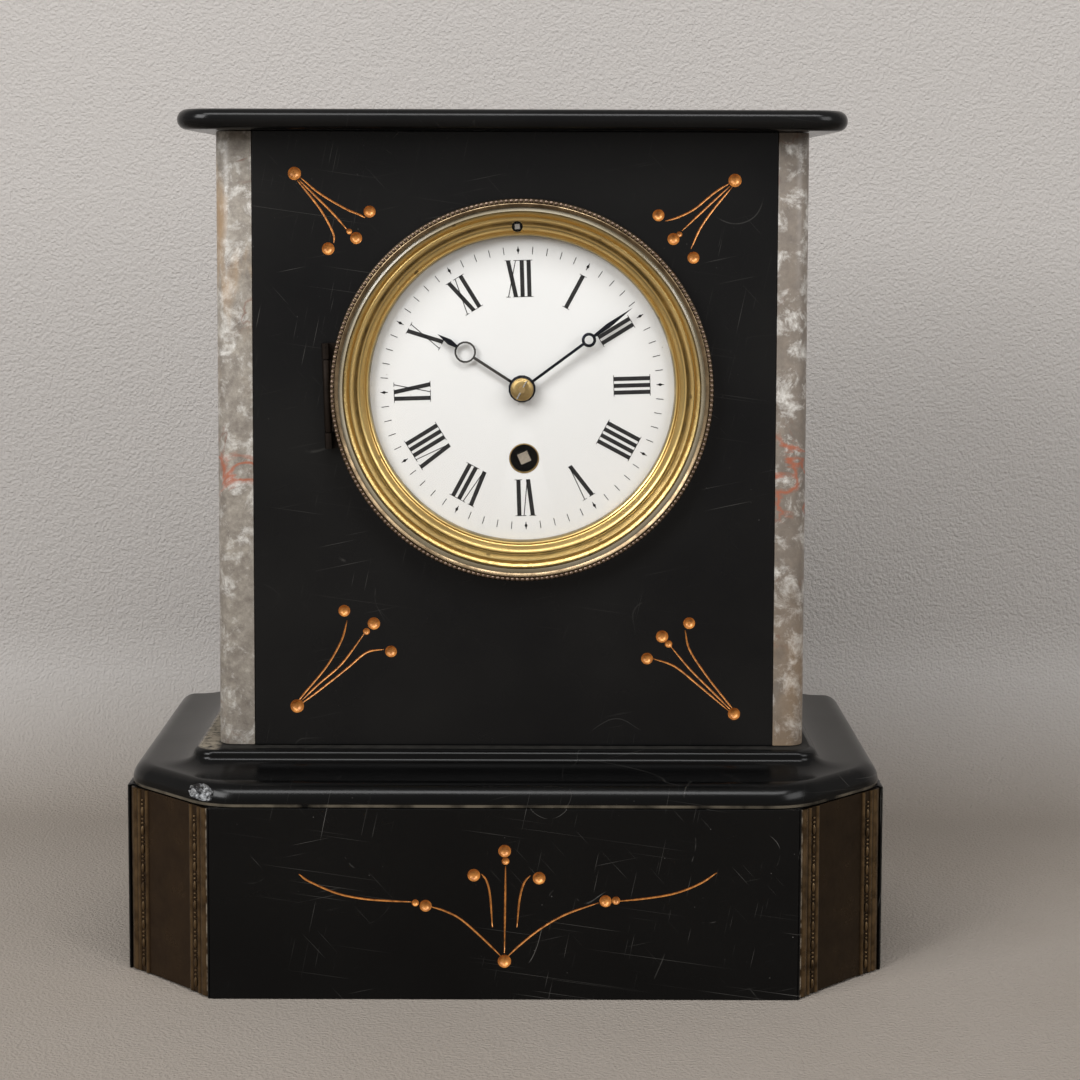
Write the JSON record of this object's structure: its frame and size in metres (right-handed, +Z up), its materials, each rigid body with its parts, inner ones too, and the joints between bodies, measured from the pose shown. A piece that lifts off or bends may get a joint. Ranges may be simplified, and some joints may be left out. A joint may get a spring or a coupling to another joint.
{
  "type": "slate mantel clock",
  "caption": "Black slate mantel clock with marble pilasters, canted plinth with brass corner plates, glazed round bezel, enamel dial and spring-driven movement with pendulum.",
  "frame": {"origin": "middle of the bounding box in plan, on the flat underside of the plinth", "axes": "+Z up, the dial faces -Y, +X to the right as seen from the front"},
  "size_m": [0.2454, 0.137, 0.2785],
  "materials": {
    "slate": "polished, dusty on the ledges",
    "marble": "polished, veined",
    "gilt_brass": "satin gilt",
    "brass": "satin",
    "patinated_brass": "dark patina",
    "steel": "satin",
    "blued_steel": "blued to near black",
    "enamel": "glossy vitreous enamel",
    "glass": "clear, bevelled at the rim"
  },
  "bodies": {
    "case": {"plinth_base_plate": "slate", "plinth_front_panel": "slate", "plinth_left_panel": "slate", "plinth_right_panel": "slate", "plinth_back_panel": "slate", "left_cant_block": "slate", "right_cant_block": "slate", "left_cant_plate": "patinated_brass", "right_cant_plate": "patinated_brass", "plinth_moulding": "slate", "left_pilaster": "marble", "right_pilaster": "marble", "front_panel": "slate", "left_side_panel": "slate", "right_side_panel": "slate", "back_panel": "slate", "top_slab": "slate", "bezel_mount": "brass", "sight_ring": "gilt_brass", "dial": "enamel", "front_plate": "brass", "back_plate": "brass", "pillar_1": "brass", "pillar_2": "brass", "pillar_3": "brass", "pillar_4": "brass", "click_spring": "steel", "back_cock": "brass", "suspension_spring": "steel", "back_ring": "brass", "left_strap": "steel", "right_strap": "steel", "left_strap_screw": "steel", "right_strap_screw": "steel"},
    "bezel": {"bezel_frame": "patinated_brass", "bezel_glass": "glass"},
    "rear_door": {"back_door": "brass"},
    "centre": {"centre_wheel": "brass", "cannon_pinion": "steel", "minute_hand": "blued_steel", "hand_collet": "gilt_brass", "taper_pin": "steel"},
    "hour": {"hour_wheel": "brass", "hour_hand": "blued_steel"},
    "minute_reduction": {"minute_wheel": "brass"},
    "second": {"second_wheel": "brass"},
    "barrel": {"barrel_drum": "brass", "barrel_cap": "brass", "mainspring": "blued_steel"},
    "third": {"third_wheel": "brass"},
    "escape": {"escape_wheel": "brass"},
    "winding": {"winding_arbor": "steel"},
    "click_lever": {"click": "steel"},
    "anchor": {"pallets": "steel"},
    "pendulum": {"pendulum_rod": "steel"},
    "bob": {"pendulum_bob": "brass", "rating_nut": "brass"},
    "rating": {"rating_arbor": "steel"},
    "rating_screw": {"lead_screw": "steel"},
    "chops": {"suspension_chops": "brass"}
  },
  "joints": [
    {"name": "minute_hand_turn", "type": "hinge", "parent": "case", "child": "centre", "pos_m": [0.0051, 0, 0.1898], "axis": [0, 1, 0], "continuous": true},
    {"name": "hour_hand_turn", "type": "hinge", "parent": "case", "child": "hour", "pos_m": [0.0051, 0, 0.1898], "axis": [0, 1, 0], "continuous": true},
    {"name": "minute_wheel_turn", "type": "hinge", "parent": "case", "child": "minute_reduction", "pos_m": [-0.00449, 0, 0.1895], "axis": [0, 1, 0], "continuous": true},
    {"name": "second_wheel_turn", "type": "hinge", "parent": "case", "child": "second", "pos_m": [-0.00874, 0, 0.18177], "axis": [0, 1, 0], "continuous": true},
    {"name": "barrel_turn", "type": "hinge", "parent": "case", "child": "barrel", "pos_m": [0.00581, 0, 0.16721], "axis": [0, 1, 0], "continuous": true},
    {"name": "third_wheel_turn", "type": "hinge", "parent": "case", "child": "third", "pos_m": [0.0121, 0, 0.20286], "axis": [0, 1, 0], "continuous": true},
    {"name": "escape_wheel_turn", "type": "hinge", "parent": "case", "child": "escape", "pos_m": [0.00434, 0, 0.21409], "axis": [0, 1, 0], "continuous": true},
    {"name": "winding_turn", "type": "hinge", "parent": "case", "child": "winding", "pos_m": [0.00581, 0, 0.16721], "axis": [0, 1, 0], "range_deg": [0, 1620]},
    {"name": "click_lift", "type": "hinge", "parent": "case", "child": "click_lever", "pos_m": [0.01699, 0, 0.17721], "axis": [0, 1, 0], "range_deg": [0, 5], "stiffness_Nm_per_rad": 0.002, "springref_deg": -2.86},
    {"name": "bezel_open", "type": "hinge", "parent": "case", "child": "bezel", "pos_m": [-0.05682, -0.0435, 0.18785], "axis": [0.0314, 0, -0.9995], "range_deg": [0, 110]},
    {"name": "back_door_open", "type": "hinge", "parent": "case", "child": "rear_door", "pos_m": [0.05937, 0.06735, 0.19151], "axis": [0.0314, 0, -0.9995], "range_deg": [0, 110]},
    {"name": "pendulum_swing", "type": "hinge", "parent": "case", "child": "pendulum", "pos_m": [0.004, 0.0177, 0.22468], "axis": [0, 1, 0], "range_deg": [-4, 4]},
    {"name": "pallets_rock", "type": "hinge", "parent": "case", "child": "anchor", "pos_m": [0.004, 0, 0.22468], "axis": [0, 1, 0], "range_deg": [-4, 4]},
    {"name": "bob_rating", "type": "slide", "parent": "pendulum", "child": "bob", "axis": [0, 0, 1], "range_m": [-0.003, 0.003]},
    {"name": "rating_turn", "type": "hinge", "parent": "case", "child": "rating", "pos_m": [0.00347, 0, 0.24177], "axis": [0, 1, 0], "range_deg": [-1440, 1440]},
    {"name": "lead_screw_turn", "type": "hinge", "parent": "case", "child": "rating_screw", "pos_m": [0.00369, 0.0223, 0.23478], "axis": [-0.0314, 0, 0.9995], "range_deg": [-1440, 1440]},
    {"name": "chops_slide", "type": "slide", "parent": "case", "child": "chops", "axis": [-0.0314, 0, 0.9995], "range_m": [-0.0016, 0.0016]}
  ],
  "couplings": [
    {"joint": "hour_hand_turn", "follows": "minute_hand_turn", "ratio": 0.083333},
    {"joint": "minute_wheel_turn", "follows": "minute_hand_turn", "ratio": -0.33333},
    {"joint": "second_wheel_turn", "follows": "minute_hand_turn", "ratio": -0.14286},
    {"joint": "barrel_turn", "follows": "minute_hand_turn", "ratio": 0.02381},
    {"joint": "third_wheel_turn", "follows": "minute_hand_turn", "ratio": -12},
    {"joint": "escape_wheel_turn", "follows": "minute_hand_turn", "ratio": 144},
    {"joint": "pallets_rock", "follows": "pendulum_swing", "ratio": 1},
    {"joint": "lead_screw_turn", "follows": "chops_slide", "rad_per_m": 15708},
    {"joint": "rating_turn", "follows": "chops_slide", "rad_per_m": 15708}
  ]
}
